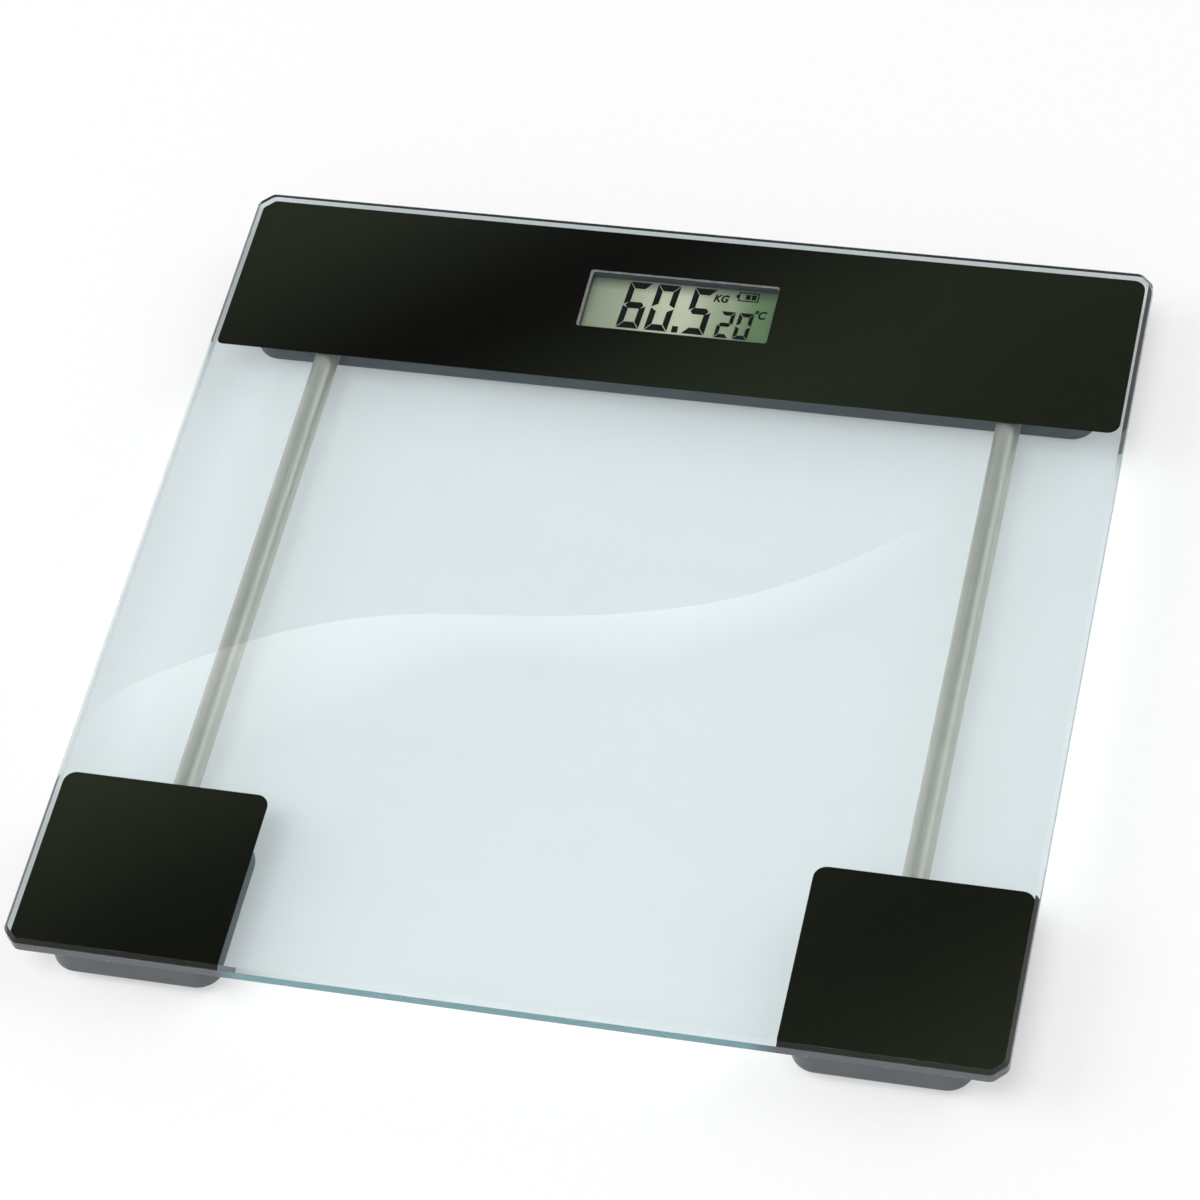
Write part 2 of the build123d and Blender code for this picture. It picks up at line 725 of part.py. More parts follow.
can_face = battery_x - battery_radius
with BuildPart() as can_contact:
    with BuildSketch(Plane((0, rear_y, 0), x_dir=(1, 0, 0), z_dir=(0, -1, 0))):
        with BuildLine():
            Polyline(
                (pad_x, board_top),
                (can_face - contact_thickness, board_top),
                (can_face - contact_thickness, battery_bottom + contact_drop),
                (can_face, battery_bottom + contact_drop),
                (can_face, board_top + contact_thickness),
                (pad_x, board_top + contact_thickness),
                close=True,
            )
        make_face()
    extrude(amount=contact_width / 2, both=True)
save(can_contact, "can_contact")

# Battery door: a plate on a hinge barrel with end pins, ribs under the coin cell and a latch tongue
with BuildPart() as battery_door:
    with BuildSketch(Plane((battery_x, hinge_y, housing_bottom))):
        Rectangle(door_width, door_far_y - hinge_y, align=(Align.CENTER, Align.MIN))
        with GridLocations(latch_width + latch_slot, 0, 2, 1):
            with Locations((0, door_far_y - hinge_y)):
                Rectangle(latch_slot, latch_length, align=(Align.CENTER, Align.MAX), mode=Mode.SUBTRACT)
    extrude(amount=door_thickness)
    with BuildSketch(Plane((battery_x - door_width / 2, hinge_y, hinge_z), z_dir=(1, 0, 0))):
        Circle(door_thickness)
    extrude(amount=door_width)
    pin_half = door_width / 2 + hinge_pin_length
    with BuildSketch(Plane((battery_x - pin_half, hinge_y, hinge_z), z_dir=(1, 0, 0))):
        Circle(hinge_pin_radius)
    extrude(amount=2 * pin_half)
    with BuildSketch(Plane((battery_x, rear_y, door_top))):
        with GridLocations(0, door_rib_pitch, 1, 2):
            Rectangle(door_rib_length, door_rib_width)
    extrude(amount=door_rib_height)
    with BuildSketch(Plane((battery_x, door_far_y - grip_inset, housing_bottom))):
        for index in range(grip_count):
            with Locations((0, -index * grip_pitch)):
                Rectangle(latch_width, grip_width, align=(Align.CENTER, Align.MAX))
    extrude(amount=grip_depth, mode=Mode.SUBTRACT)
save(battery_door, "battery_door")

# Unit button with a dished face, and the push switch above it
button_face = housing_bottom - button_proud
flange_edge = button_radius + button_flange_rim
with BuildPart() as unit_button:
    with BuildSketch(upright(button_x, rear_y)):
        with BuildLine():
            dish_edge = button_radius - button_edge
            TangentArc((0, button_face + button_dish), (dish_edge, button_face), tangent=(1, 0))
            Polyline(
                (dish_edge, button_face),
                (button_radius, button_face + button_edge),
                (button_radius, button_seat),
                (flange_edge, button_seat),
                (flange_edge, button_top),
                (0, button_top),
                (0, button_face + button_dish),
            )
        make_face()
    revolve(axis=vertical(button_x, rear_y))
save(unit_button, "unit_button")

with BuildPart() as unit_switch:
    with BuildSketch(Plane((button_x, rear_y, switch_bottom))):
        Rectangle(switch_size, switch_size)
        Circle(plunger_radius + plunger_gap, mode=Mode.SUBTRACT)
    extrude(amount=switch_height)
save(unit_switch, "unit_switch")

with BuildPart() as switch_plunger:
    with BuildSketch(Plane((button_x, rear_y, button_top))):
        Circle(plunger_radius)
    extrude(amount=switch_bottom - button_top + plunger_engagement)
save(switch_plunger, "switch_plunger")
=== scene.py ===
import json
from math import copysign, cos, radians, sin, sqrt, tan, tau

import bmesh
import bpy
from mathutils import Matrix, Vector


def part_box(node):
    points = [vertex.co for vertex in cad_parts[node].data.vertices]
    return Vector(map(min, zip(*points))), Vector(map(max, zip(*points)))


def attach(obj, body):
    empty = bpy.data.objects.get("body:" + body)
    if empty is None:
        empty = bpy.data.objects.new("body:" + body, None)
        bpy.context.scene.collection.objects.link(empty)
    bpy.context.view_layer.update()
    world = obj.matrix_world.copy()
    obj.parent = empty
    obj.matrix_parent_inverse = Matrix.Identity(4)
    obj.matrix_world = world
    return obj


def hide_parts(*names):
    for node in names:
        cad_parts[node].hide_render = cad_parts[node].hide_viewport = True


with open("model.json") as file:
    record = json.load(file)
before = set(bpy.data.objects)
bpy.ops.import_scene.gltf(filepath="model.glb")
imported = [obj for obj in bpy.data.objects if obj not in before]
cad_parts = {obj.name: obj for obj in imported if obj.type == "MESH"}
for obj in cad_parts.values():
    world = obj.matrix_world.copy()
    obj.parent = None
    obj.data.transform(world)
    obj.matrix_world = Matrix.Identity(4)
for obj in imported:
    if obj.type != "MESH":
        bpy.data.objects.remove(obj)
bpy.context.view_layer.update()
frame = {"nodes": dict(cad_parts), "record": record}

# Digital bathroom scale: the finishes, the glass platform and the marks on the display.
# Metres in the frame of the model, +Z up, floor at Z 0, display towards +Y.

mm = 0.001  # metres
nodes = frame["nodes"]

# Colour sockets of a Mix node
mix_first, mix_second, mix_result = 6, 7, 2

# Finishes
wave_turn = 10  # radians that a diagonal wave texture turns in one unit of length
edge_cosines = (0.85, 0.99)  # between the rounded and the flat normal, at an edge and away from it
plastic_patch = 14 * mm  # size of the faint mottle
plastic_mottle = 0.06  # share by which the mottle is darker or lighter
plastic_edge = 0.35 * mm  # rounding of the worn edges
plastic_spread = 0.06  # roughness either side of its middle value
metal_grain = 0.12 * mm  # width of the scratches
metal_scratch = 0.8  # tone in the scratches
metal_scratch_depth = 0.004 * mm
metal_stain = 9 * mm  # size of the faint stains
metal_stains = (0.92, 1.05)  # darkest and lightest tone of the stains
metal_edge = 0.2 * mm  # rounding of the bright edges
metal_wear = 1.2  # brightness of those edges
metal_spread = 0.07  # roughness either side of its middle value
# surface tint of the glass, partly its own and partly painted shade for the shadow that the glass doesn't
# cast
glass_tints_and_shade = ((0.735, 0.79, 0.805), (0.755, 0.805, 0.82))
glass_body = (0.10, 0.47, 0.52)  # light that the body of the glass lets through
glass_smear = 35 * mm  # size of the smears on its faces
glass_wave = 120 * mm  # size of the faint waves in its faces
glass_wave_depth = 0.0015 * mm
ground_teals = ((0.25, 0.54, 0.60), (0.27, 0.57, 0.63))  # ground edge beside clear glass
ground_ink_shade = (0.135, 0.158, 0.176)  # painted shade on the ground edge beside ink, for the dark print seen through it
ground_cloud = 12 * mm
ink_grain = 0.25 * mm
# near black of the ink, and the lighter tone of its painted sheen
ink_and_sheen_tones = ((0.0015, 0.0018, 0.0009), (0.0222, 0.0270, 0.0140))
border_streak = 0.5 * mm
# the line's own grey, and the lighter tone of its painted highlight
border_tones_and_highlight = ((0.17, 0.14, 0.14), (0.33, 0.29, 0.29))
segment_patch = 1.5 * mm  # size of the uneven patches in the dark liquid crystal
segment_tones = ((0.006, 0.006, 0.006), (0.010, 0.010, 0.009))
film_grain = 0.18 * mm  # size of the specks in the film of the display
film_grain_depth = 0.002 * mm
film_sparkle = (0.9, 0.95, 0.85)  # colour of the bright ones
window_shadow_tone = (0.05, 0.055, 0.045)  # painted shadow of the window's back wall on the film
rubber_pit = 0.35 * mm
rubber_pit_depth = 0.03 * mm
rubber_bloom = 7 * mm  # size of the dusty patches
rubber_dust = 1.6  # their tone
layer_tones = ((0.03, 0.03, 0.03), (0.42, 0.36, 0.36))
rubber_layers = 1.6 * mm  # scale of the layers in contact rubber
layer_grain = 0.4 * mm
board_masks = ((0.010, 0.085, 0.030), (0.016, 0.115, 0.042))
board_track = (0.035, 0.21, 0.07)  # mask over a copper track
board_tracks = 9 * mm  # spacing of the tracks
board_track_width = 0.045  # as a share of the spacing
board_track_shift = 0.37  # of each row against the one before it
board_track_depth = 0.03 * mm
board_weave = 0.5 * mm  # threads of the glass cloth

# Film of the display: share of its width from the left, and colour there
film_stops = (
    (0.08, (0.36, 0.385, 0.26)),
    (0.50, (0.68, 0.645, 0.475)),
    (0.72, (0.36, 0.39, 0.25)),
    (0.86, (0.14, 0.225, 0.095)),
)

# Glass platform
glass_corner_cut = 4.2 * mm  # leg of the cut across each corner
glass_corner_radius = 3.0 * mm  # rounding at both ends of that cut
glass_arris = 1.2 * mm  # bevel ground along the upper and lower edges
glass_edge_break = 0.05 * mm  # softening of the ground edges
glass_edge_turn = radians(30)  # edges that turn by more are softened
glass_smooth_turn = radians(20)  # faces that turn by less are shaded as one
glass_ior = 1.52
glass_density = 9.0  # absorption in the body of the glass
ink_fade = 8.0 * mm  # length over which the painted ink shade on the edge of the glass fades out
print_corner_radius = 4.0 * mm
band_left_radius = 1.8 * mm  # tighter corner of the band, at its front left
band_right_gap = 1.2 * mm  # clear strip between the band and the right rim, beyond the plain margin
print_rim_radius = 0.1 * mm  # corner of a print where it meets the rim of the glass
print_bond = 0.02 * mm  # underside of the glass above the tops of the prints, so that no faces coincide
ink_hair = 0.1 * mm  # clear line between the ink and the ground lower edge
window_width = 62.5 * mm
window_depth = 24.0 * mm
window_corner_radius = 1.0 * mm
border_low = (-32.2 * mm, -11.2 * mm)  # grey line printed round the window, from its middle
border_high = (30.9 * mm, 12.9 * mm)
border_line = 0.05 * mm  # thinnest side of that line
corner_steps = 6  # straight pieces in half of a rounded corner
same_point = 0.001 * mm  # points nearer than this are one

# Broad slanting bands of painted sheen on the ink, for soft reflections in the glass: distance between
# them, lean to the side, phase and weight of each set
ink_sheen_waves = ((200 * mm, 1.0, 5.21, 0.44), (400 * mm, 1.5, 3.59, 0.56))

# Marks on the display, from the middle of the window
window_shadow_reach = 5.0 * mm  # reach of the painted shadow that the window's back wall casts on the film
mark_height = 0.04 * mm  # thickness of the marks
mark_slant = 0.06  # sideways lean for each unit of height
large_digits = "605"
large_digit_lefts = (-19.95 * mm, -10.55 * mm, 1.75 * mm)
large_digit_bottom = -8.3 * mm
large_digit_size = (7.6 * mm, 19.7 * mm)
large_bar = 2.7 * mm  # height of the level segments
large_post = 2.0 * mm  # width of the upright segments
point_corner = (-1.4 * mm, -8.3 * mm)
point_size = (2.0 * mm, 2.7 * mm)
small_digits = "20"
small_digit_lefts = (12.6 * mm, 18.75 * mm)
small_digit_bottom = -8.6 * mm
small_digit_size = (4.9 * mm, 11.2 * mm)
small_bar = 1.65 * mm
small_post = 1.3 * mm
segment_gap = 0.18 * mm
segment_tip = 0.4  # inset of the middle segment's points, as a share of an upright's width
segment_shoulder = 0.85  # inset of its shoulders, likewise
unit_corner = (9.65 * mm, 6.4 * mm)
unit_size = 4.2 * mm
degree_corner = (23.8 * mm, 0.75 * mm)
degree_size = 4.5 * mm
lettering_shear = 0.2
lettering_width = 0.82  # letters narrower than the plain ones
lettering_weight = 0.16 * mm  # growth of the letters' outlines
battery_corner = (17.6 * mm, 7.5 * mm)
battery_size = (6.8 * mm, 3.9 * mm)
battery_line = 0.45 * mm
battery_tip = (0.7 * mm, 1.3 * mm)
battery_bars = 2
battery_bar_width = 1.5 * mm

# Camera, at the place that the photograph was taken from
camera_place = Vector((272.07, -736.14, 1040.92)) * mm
camera_azimuth = radians(21.5316)
camera_elevation = radians(52.3626)
camera_roll = radians(-10.8868)
camera_lens = 125.3166
camera_sensor = 36.0
camera_shift = 0.04591
image_size = 1200

# Stage
floor_size = 8.0
floor_drop = 0.1 * mm  # floor below the rubber pads
floor_speck = 4 * mm
floor_tones = ((0.955, 0.955, 0.955), (0.98, 0.98, 0.98))
floor_glow = 0.42  # share of plain white in the floor, seen directly, mirrored or through glass
horizon_light = 1.0  # light from all round, low over the floor
ceiling_light = 0.08
horizon_top = 0.25  # height in a unit direction where the light starts to fall
ceiling_start = 0.75  # height where it has fallen to the ceiling's
lamp_size = 2.4

# Name, place and watts of each lamp
lamps = (
    ("key_lamp", (-0.6, -1.4, 3.8), 80),
    ("left_lamp", (-3.2, -0.6, 2.3), 58),
    ("right_lamp", (2.6, 1.8, 2.4), 32),
)

# Streak of light on the glass: upper edge in the photograph's pixels, depth below it and strength
streak_edge = (
    (80, 708, 60, 0.2),
    (160, 671, 95, 0.6),
    (250, 639, 115, 0.95),
    (340, 618, 105, 1.0),
    (430, 612, 60, 0.8),
    (520, 617, 40, 0.7),
    (620, 615, 55, 0.9),
    (710, 605, 55, 0.9),
    (800, 582, 50, 0.7),
    (880, 548, 45, 0.4),
    (950, 512, 35, 0.0),
)
streak_distance = 4.0
streak_light = 2.3
streak_smoothing = 3  # rounds of subdivision


def start_material(name):
    """A new node material, its tree and its main shader."""
    material = bpy.data.materials.new(name)
    material.use_nodes = True
    return material, material.node_tree, material.node_tree.nodes["Principled BSDF"]


def add_node(tree, kind, inputs=None, **settings):
    """A node with its settings and unlinked input values."""
    node = tree.nodes.new(kind)
    for name, value in settings.items():
        setattr(node, name, value)
    for name, value in (inputs or {}).items():
        node.inputs[name].default_value = value
    return node


def add_noise(tree, size, stretch=(1, 1, 1), detail=3):
    """Noise with features of the given size on the object's own coordinates; a stretch lengthens them."""
    place = add_node(tree, "ShaderNodeTexCoord")
    scale = [1 / (size * length) for length in stretch]
    mapping = add_node(tree, "ShaderNodeMapping", {"Scale": scale})
    noise = add_node(tree, "ShaderNodeTexNoise", {"Scale": 1, "Detail": detail})
    tree.links.new(place.outputs["Object"], mapping.inputs["Vector"])
    tree.links.new(mapping.outputs["Vector"], noise.inputs["Vector"])
    return noise.outputs["Fac"]


def add_range(tree, value, low, high, from_low=0.3, from_high=0.7):
    """A value mapped to the range from low to high, by default from the middle of a noise."""
    ranged = add_node(
        tree,
        "ShaderNodeMapRange",
        {"From Min": from_low, "From Max": from_high, "To Min": low, "To Max": high},
    )
    tree.links.new(value, ranged.inputs["Value"])
    return ranged.outputs["Result"]


def add_mix(tree, factor, first, second):
    """A colour between first and second; each is a colour or another node's output."""
    mix = add_node(tree, "ShaderNodeMix", data_type="RGBA")
    tree.links.new(factor, mix.inputs["Factor"])
    for socket, colour in ((mix.inputs[mix_first], first), (mix.inputs[mix_second], second)):
        if isinstance(colour, bpy.types.NodeSocket):
            tree.links.new(colour, socket)
        else:
            socket.default_value = (*colour, 1)
    return mix.outputs[mix_result]


def add_math(tree, operation, *values):
    """A calculation with one or two values; each is a number or another node's output."""
    step = add_node(tree, "ShaderNodeMath", operation=operation)
    for socket, value in zip(step.inputs, values):
        if isinstance(value, bpy.types.NodeSocket):
            tree.links.new(value, socket)
        else:
            socket.default_value = value
    return step.outputs["Value"]


def add_place(tree):
    """The X, Y and Z of a point in the frame of the model."""
    place = add_node(tree, "ShaderNodeTexCoord")
    split = add_node(tree, "ShaderNodeSeparateXYZ")
    tree.links.new(place.outputs["Object"], split.inputs["Vector"])
    return split.outputs


def add_wave(tree, period, lean, phase):
    """A soft wave over the plane of the floor, its crests leaning to the side."""
    place = add_node(tree, "ShaderNodeTexCoord")
    mapping = add_node(tree, "ShaderNodeMapping", {"Scale": (1, -lean, 0)})
    wave = add_node(
        tree,
        "ShaderNodeTexWave",
        {"Scale": tau / (wave_turn * period), "Phase Offset": phase},
        bands_direction="DIAGONAL",
    )
    tree.links.new(place.outputs["Object"], mapping.inputs["Vector"])
    tree.links.new(mapping.outputs["Vector"], wave.inputs["Vector"])
    return wave.outputs["Fac"]


def add_edge_mask(tree, radius):
    """A mask of the outer edges, and the normal that rounds them by the radius."""
    bevel = add_node(tree, "ShaderNodeBevel", {"Radius": radius}, samples=4)
    geometry = add_node(tree, "ShaderNodeNewGeometry")
    dot = add_node(tree, "ShaderNodeVectorMath", operation="DOT_PRODUCT")
    tree.links.new(bevel.outputs["Normal"], dot.inputs[0])
    tree.links.new(geometry.outputs["Normal"], dot.inputs[1])
    return add_range(tree, dot.outputs["Value"], 1, 0, *edge_cosines), bevel.outputs["Normal"]


def add_relief(tree, shader, height, depth, normal=None):
    """Bump of the given depth from a height, over a normal that may already round the edges."""
    bump = add_node(tree, "ShaderNodeBump", {"Strength": 1, "Distance": depth})
    tree.links.new(height, bump.inputs["Height"])
    if normal:
        tree.links.new(normal, bump.inputs["Normal"])
    tree.links.new(bump.outputs["Normal"], shader.inputs["Normal"])


def shade(colour, factor):
    """A colour made darker or lighter by a factor."""
    return tuple(min(1, factor * channel) for channel in colour)


def make_plastic(name, colour, roughness, grain, depth, wear=1.25):
    """Moulded plastic: fine grain, a faint mottle, and edges that handling has polished lighter."""
    material, tree, shader = start_material(name)
    patch = add_range(tree, add_noise(tree, plastic_patch), 0, 1)
    fine = add_noise(tree, grain, detail=5)
    body = add_mix(tree, patch, shade(colour, 1 - plastic_mottle), shade(colour, 1 + plastic_mottle))
    edge, rounded = add_edge_mask(tree, plastic_edge)
    worn = add_mix(tree, edge, body, shade(colour, wear))
    tree.links.new(worn, shader.inputs["Base Color"])
    rough = add_range(tree, fine, roughness - plastic_spread, roughness + plastic_spread)
    tree.links.new(rough, shader.inputs["Roughness"])
    add_relief(tree, shader, fine, depth, rounded)
    return material


def make_metal(name, colour, roughness, stretch, depth=metal_scratch_depth, metallic=1):
    """Plated or brushed metal: scratches stretched along the working direction, and bright edges."""
    material, tree, shader = start_material(name)
    shader.inputs["Metallic"].default_value = metallic
    lines = add_noise(tree, metal_grain, stretch, detail=4)
    stain = add_range(tree, add_noise(tree, metal_stain), 0, 1)
    body = add_mix(tree, stain, *(shade(colour, tone) for tone in metal_stains))
    brushed = add_mix(tree, add_range(tree, lines, 0, 1), shade(colour, metal_scratch), body)
    edge, rounded = add_edge_mask(tree, metal_edge)
    worn = add_mix(tree, edge, brushed, shade(colour, metal_wear))
    tree.links.new(worn, shader.inputs["Base Color"])
    rough = add_range(tree, lines, roughness - metal_spread, roughness + metal_spread)
    tree.links.new(rough, shader.inputs["Roughness"])
    add_relief(tree, shader, lines, depth, rounded)
    return material


def make_glass():
    """Clear float glass: a green-blue body, faint smears on its polished faces, and a surface tint deepened
    with painted shade for the shadow that the glass doesn't cast.
    """
    material, tree, shader = start_material("platform_glass")
    shader.inputs["Transmission Weight"].default_value = 1
    shader.inputs["IOR"].default_value = glass_ior
    smear = add_noise(tree, glass_smear, (2.5, 1, 1), detail=6)
    tint_and_shade = add_mix(tree, add_range(tree, smear, 0, 1), *glass_tints_and_shade)
    tree.links.new(tint_and_shade, shader.inputs["Base Color"])
    tree.links.new(add_range(tree, smear, 0.0, 0.012, 0.45, 0.8), shader.inputs["Roughness"])
    add_relief(tree, shader, add_noise(tree, glass_wave, detail=1), glass_wave_depth)
    absorption = add_node(tree, "ShaderNodeVolumeAbsorption", {"Density": glass_density})
    absorption.inputs["Color"].default_value = (*glass_body, 1)
    tree.links.new(absorption.outputs["Volume"], tree.nodes["Material Output"].inputs["Volume"])
    return material


def make_glass_edge():
    """Ground edge of the glass: frosted, teal from the body, with painted shade where ink lies beside it,
    for the dark print seen through the edge.
    """
    material, tree, shader = start_material("glass_edge")
    shader.inputs["Transmission Weight"].default_value = 0.5
    shader.inputs["IOR"].default_value = glass_ior
    band_low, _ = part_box("rear_print")
    _, square_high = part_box("front_left_print")
    place = add_place(tree)
    beside_band = add_range(tree, place["Y"], 0, 1, band_low[1] - ink_fade, band_low[1])
    in_front = add_range(tree, place["Y"], 1, 0, square_high[1], square_high[1] + ink_fade)
    aside = add_math(tree, "ABSOLUTE", place["X"])
    outside = add_range(tree, aside, 0, 1, -square_high[0] - ink_fade, -square_high[0])
    # painted shade on the edge where ink lies behind it
    ink_shade_mask = add_math(tree, "MAXIMUM", beside_band, add_math(tree, "MULTIPLY", in_front, outside))
    cloudy = add_range(tree, add_noise(tree, ground_cloud, detail=1), 0, 1)
    teal = add_mix(tree, cloudy, *ground_teals)
    body = add_mix(tree, ink_shade_mask, teal, ground_ink_shade)
    tree.links.new(body, shader.inputs["Base Color"])
    tree.links.new(add_range(tree, cloudy, 0.24, 0.28, 0, 1), shader.inputs["Roughness"])
    return material


def make_ink():
    """Ink printed on the back of the glass: near black, a little warm, with broad slanting bands of painted
    sheen for soft reflections.
    """
    material, tree, shader = start_material("black_print")
    shader.inputs["Specular IOR Level"].default_value = 0
    sheen_waves = [
        add_math(tree, "MULTIPLY", add_wave(tree, period, lean, phase), weight)
        for period, lean, phase, weight in ink_sheen_waves
    ]
    # painted sheen: lighter bands that stand in for soft reflections in the glass
    painted_sheen = add_math(tree, "ADD", *sheen_waves)
    body = add_mix(tree, painted_sheen, *ink_and_sheen_tones)
    tree.links.new(body, shader.inputs["Base Color"])
    tree.links.new(add_range(tree, add_noise(tree, ink_grain), 0.45, 0.55), shader.inputs["Roughness"])
    return material


def make_border():
    """Grey line printed round the display window, a little streaky; its darker tone is the line's own, its
    lighter streaks are painted highlight for the window's edge catching the light.
    """
    material, tree, shader = start_material("window_border")
    shader.inputs["Specular IOR Level"].default_value = 0
    streaks = add_range(tree, add_noise(tree, border_streak, (6, 1, 1)), 0, 1)
    line = add_mix(tree, streaks, *border_tones_and_highlight)
    tree.links.new(line, shader.inputs["Base Color"])
    tree.links.new(add_range(tree, streaks, 0.5, 0.6, 0, 1), shader.inputs["Roughness"])
    return material


def make_display():
    """Liquid-crystal panel: a grey-green film, paler in the middle and greener to the right, with painted
    shadow along the back of the window.
    """
    material, tree, shader = start_material("display_glass")
    low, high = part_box("lcd_panel")
    place = add_place(tree)
    across = add_range(tree, place["X"], 0, 1, low[0], high[0])
    ramp = add_node(tree, "ShaderNodeValToRGB")
    ramp.color_ramp.interpolation = "EASE"
    while len(ramp.color_ramp.elements) < len(film_stops):
        ramp.color_ramp.elements.new(0.5)
    for element, (position, colour) in zip(ramp.color_ramp.elements, film_stops):
        element.position = position
        element.color = (*colour, 1)
    tree.links.new(across, ramp.inputs["Fac"])
    sparkle = add_noise(tree, film_grain, detail=2)
    film = add_mix(tree, add_range(tree, sparkle, 0, 0.06), ramp.outputs["Color"], film_sparkle)
    window_back = (low[1] + high[1] + window_depth) / 2
    # painted shadow of the window's back wall, darkest at the wall
    shaded = add_range(tree, place["Y"], 0, 0.75, window_back - window_shadow_reach, window_back)
    tree.links.new(add_mix(tree, shaded, film, window_shadow_tone), shader.inputs["Base Color"])
    tree.links.new(add_range(tree, sparkle, 0.16, 0.26), shader.inputs["Roughness"])
    add_relief(tree, shader, sparkle, film_grain_depth)
    return material


def make_segments():
    """Dark liquid crystal in the figures: near black, slightly uneven, with no gloss of its own."""
    material, tree, shader = start_material("display_segments")
    shader.inputs["Specular IOR Level"].default_value = 0
    uneven = add_range(tree, add_noise(tree, segment_patch), 0, 1)
    body = add_mix(tree, uneven, *segment_tones)
    tree.links.new(body, shader.inputs["Base Color"])
    tree.links.new(add_range(tree, uneven, 0.5, 0.6, 0, 1), shader.inputs["Roughness"])
    return material


def make_rubber(name, colour):
    """Soft rubber: matt, with a fine pitted skin and a dusty bloom."""
    material, tree, shader = start_material(name)
    pits = add_noise(tree, rubber_pit, detail=6)
    bloom = add_range(tree, add_noise(tree, rubber_bloom), 0, 1)
    dusty = add_mix(tree, bloom, colour, shade(colour, rubber_dust))
    tree.links.new(dusty, shader.inputs["Base Color"])
    tree.links.new(add_range(tree, pits, 0.72, 0.92), shader.inputs["Roughness"])
    add_relief(tree, shader, pits, rubber_pit_depth)
    return material


def make_contact_rubber():
    """Contact rubber: thin black conductive layers between insulating ones, along the strip."""
    material, tree, shader = start_material("strip_rubber")
    place = add_node(tree, "ShaderNodeTexCoord")
    layers = add_node(tree, "ShaderNodeTexWave", {"Scale": 1 / rubber_layers}, bands_direction="X")
    tree.links.new(place.outputs["Object"], layers.inputs["Vector"])
    striped = add_mix(tree, layers.outputs["Fac"], *layer_tones)
    tree.links.new(striped, shader.inputs["Base Color"])
    tree.links.new(add_range(tree, add_noise(tree, layer_grain), 0.6, 0.8), shader.inputs["Roughness"])
    return material


def make_board():
    """Board laminate: green mask over copper tracks, with the weave of the glass cloth faintly showing."""
    material, tree, shader = start_material("board_laminate")
    place = add_node(tree, "ShaderNodeTexCoord")
    tracks = add_node(
        tree,
        "ShaderNodeTexBrick",
        {
            "Scale": 1 / board_tracks,
            "Mortar Size": board_track_width,
            "Color1": (0, 0, 0, 1),
            "Color2": (0, 0, 0, 1),
            "Mortar": (1, 1, 1, 1),
        },
        offset=board_track_shift,
    )
    tree.links.new(place.outputs["Object"], tracks.inputs["Vector"])
    cloth = add_noise(tree, board_weave, (1, 3, 1))
    mask = add_mix(tree, add_range(tree, cloth, 0, 1), *board_masks)
    tracked = add_mix(tree, tracks.outputs["Color"], mask, board_track)
    tree.links.new(tracked, shader.inputs["Base Color"])
    tree.links.new(add_range(tree, cloth, 0.28, 0.42), shader.inputs["Roughness"])
    add_relief(tree, shader, tracks.outputs["Fac"], board_track_depth)
    return material


# One finish for each material slot of the model: colour, roughness, then grain or scratches and their depth
finishes = {
    "platform_glass": make_glass(),
    "black_print": make_ink(),
    "bond_tape": make_plastic("bond_tape", (0.62, 0.62, 0.58), 0.75, 0.4 * mm, 0.03 * mm, wear=1.0),
    "housing_grey": make_plastic("housing_grey", (0.062, 0.075, 0.084), 0.42, 0.22 * mm, 0.008 * mm),
    "cover_grey": make_plastic("cover_grey", (0.052, 0.062, 0.069), 0.50, 0.30 * mm, 0.012 * mm),
    "tube_steel": make_metal("tube_steel", (0.68, 0.65, 0.58), 0.40, (1, 900, 1), 0.001 * mm, metallic=0.6),
    "cell_steel": make_metal("cell_steel", (0.55, 0.56, 0.57), 0.38, (1, 30, 1)),
    "gauge_coating": make_plastic("gauge_coating", (0.74, 0.74, 0.69), 0.45, 0.5 * mm, 0.02 * mm, wear=1.0),
    "foot_plastic": make_plastic("foot_plastic", (0.034, 0.036, 0.039), 0.48, 0.30 * mm, 0.012 * mm),
    "pad_rubber": make_rubber("pad_rubber", (0.011, 0.011, 0.012)),
    "screw_steel": make_metal("screw_steel", (0.56, 0.57, 0.58), 0.32, (1, 1, 1)),
    "display_glass": make_display(),
    "frame_plastic": make_plastic("frame_plastic", (0.045, 0.045, 0.045), 0.55, 0.30 * mm, 0.012 * mm),
    "strip_rubber": make_contact_rubber(),
    "board_laminate": make_board(),
    "resin_black": make_plastic("resin_black", (0.012, 0.012, 0.013), 0.22, 1.5 * mm, 0.03 * mm, wear=1.0),
    "capacitor_tan": make_plastic("capacitor_tan", (0.30, 0.17, 0.075), 0.5, 0.2 * mm, 0.01 * mm),
    "battery_steel": make_metal("battery_steel", (0.66, 0.66, 0.65), 0.22, (20, 1, 1)),
    "contact_metal": make_metal("contact_metal", (0.63, 0.56, 0.40), 0.28, (25, 1, 1)),
    "button_plastic": make_plastic("button_plastic", (0.024, 0.026, 0.029), 0.44, 0.25 * mm, 0.010 * mm),
    "switch_plastic": make_plastic("switch_plastic", (0.014, 0.014, 0.014), 0.55, 0.25 * mm, 0.010 * mm),
}
for part in frame["record"]["subparts"]:
    slots = nodes[part["node"]].data.materials
    slots.clear()
    slots.append(finishes[part["material_slot"]])


def round_corner(radius):
    """The cut and the rounding that together make a plain round corner."""
    return (2 - sqrt(2)) * radius, radius


def cut_corner(inset):
    """The cut and the rounding of the glass's corners, brought in by an inset."""
    return glass_corner_cut - (2 - sqrt(2)) * inset, glass_corner_radius - inset


